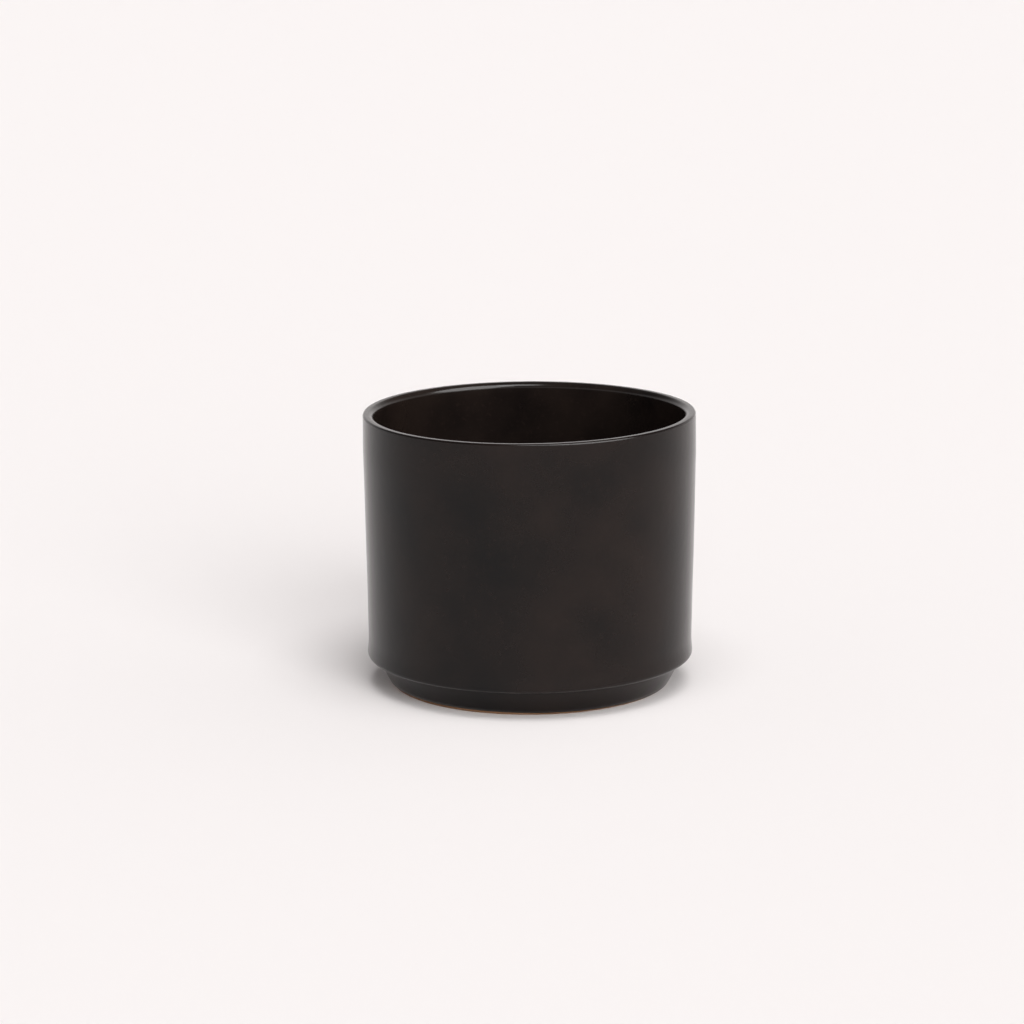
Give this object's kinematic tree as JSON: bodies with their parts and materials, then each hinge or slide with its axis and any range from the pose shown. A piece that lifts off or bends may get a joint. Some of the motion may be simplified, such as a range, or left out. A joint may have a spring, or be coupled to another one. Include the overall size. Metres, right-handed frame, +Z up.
{
  "type": "empty candle jar",
  "caption": "Round open stoneware candle jar: slightly tapering wall, flat rim, and a low conical foot set in by a small step, glazed inside and out.",
  "frame": {"origin": "centre of the foot's underside, on the plane that the jar stands on", "axes": "+Z up along the jar's axis of revolution, out of its mouth; +X and +Y are alike, because the jar is round"},
  "size_m": [0.09, 0.09, 0.0735],
  "materials": {
    "bare_stoneware": "unglazed fired clay, dry and slightly gritty",
    "satin_black_glaze": "satin black glaze",
    "satin_black_glaze_inside": "satin black glaze",
    "satin_black_glaze_base": "satin black glaze"
  },
  "bodies": {
    "root": {"stoneware_body": "bare_stoneware", "outer_glaze": "satin_black_glaze", "liner_glaze": "satin_black_glaze_inside", "base_glaze": "satin_black_glaze_base"}
  },
  "joints": []
}
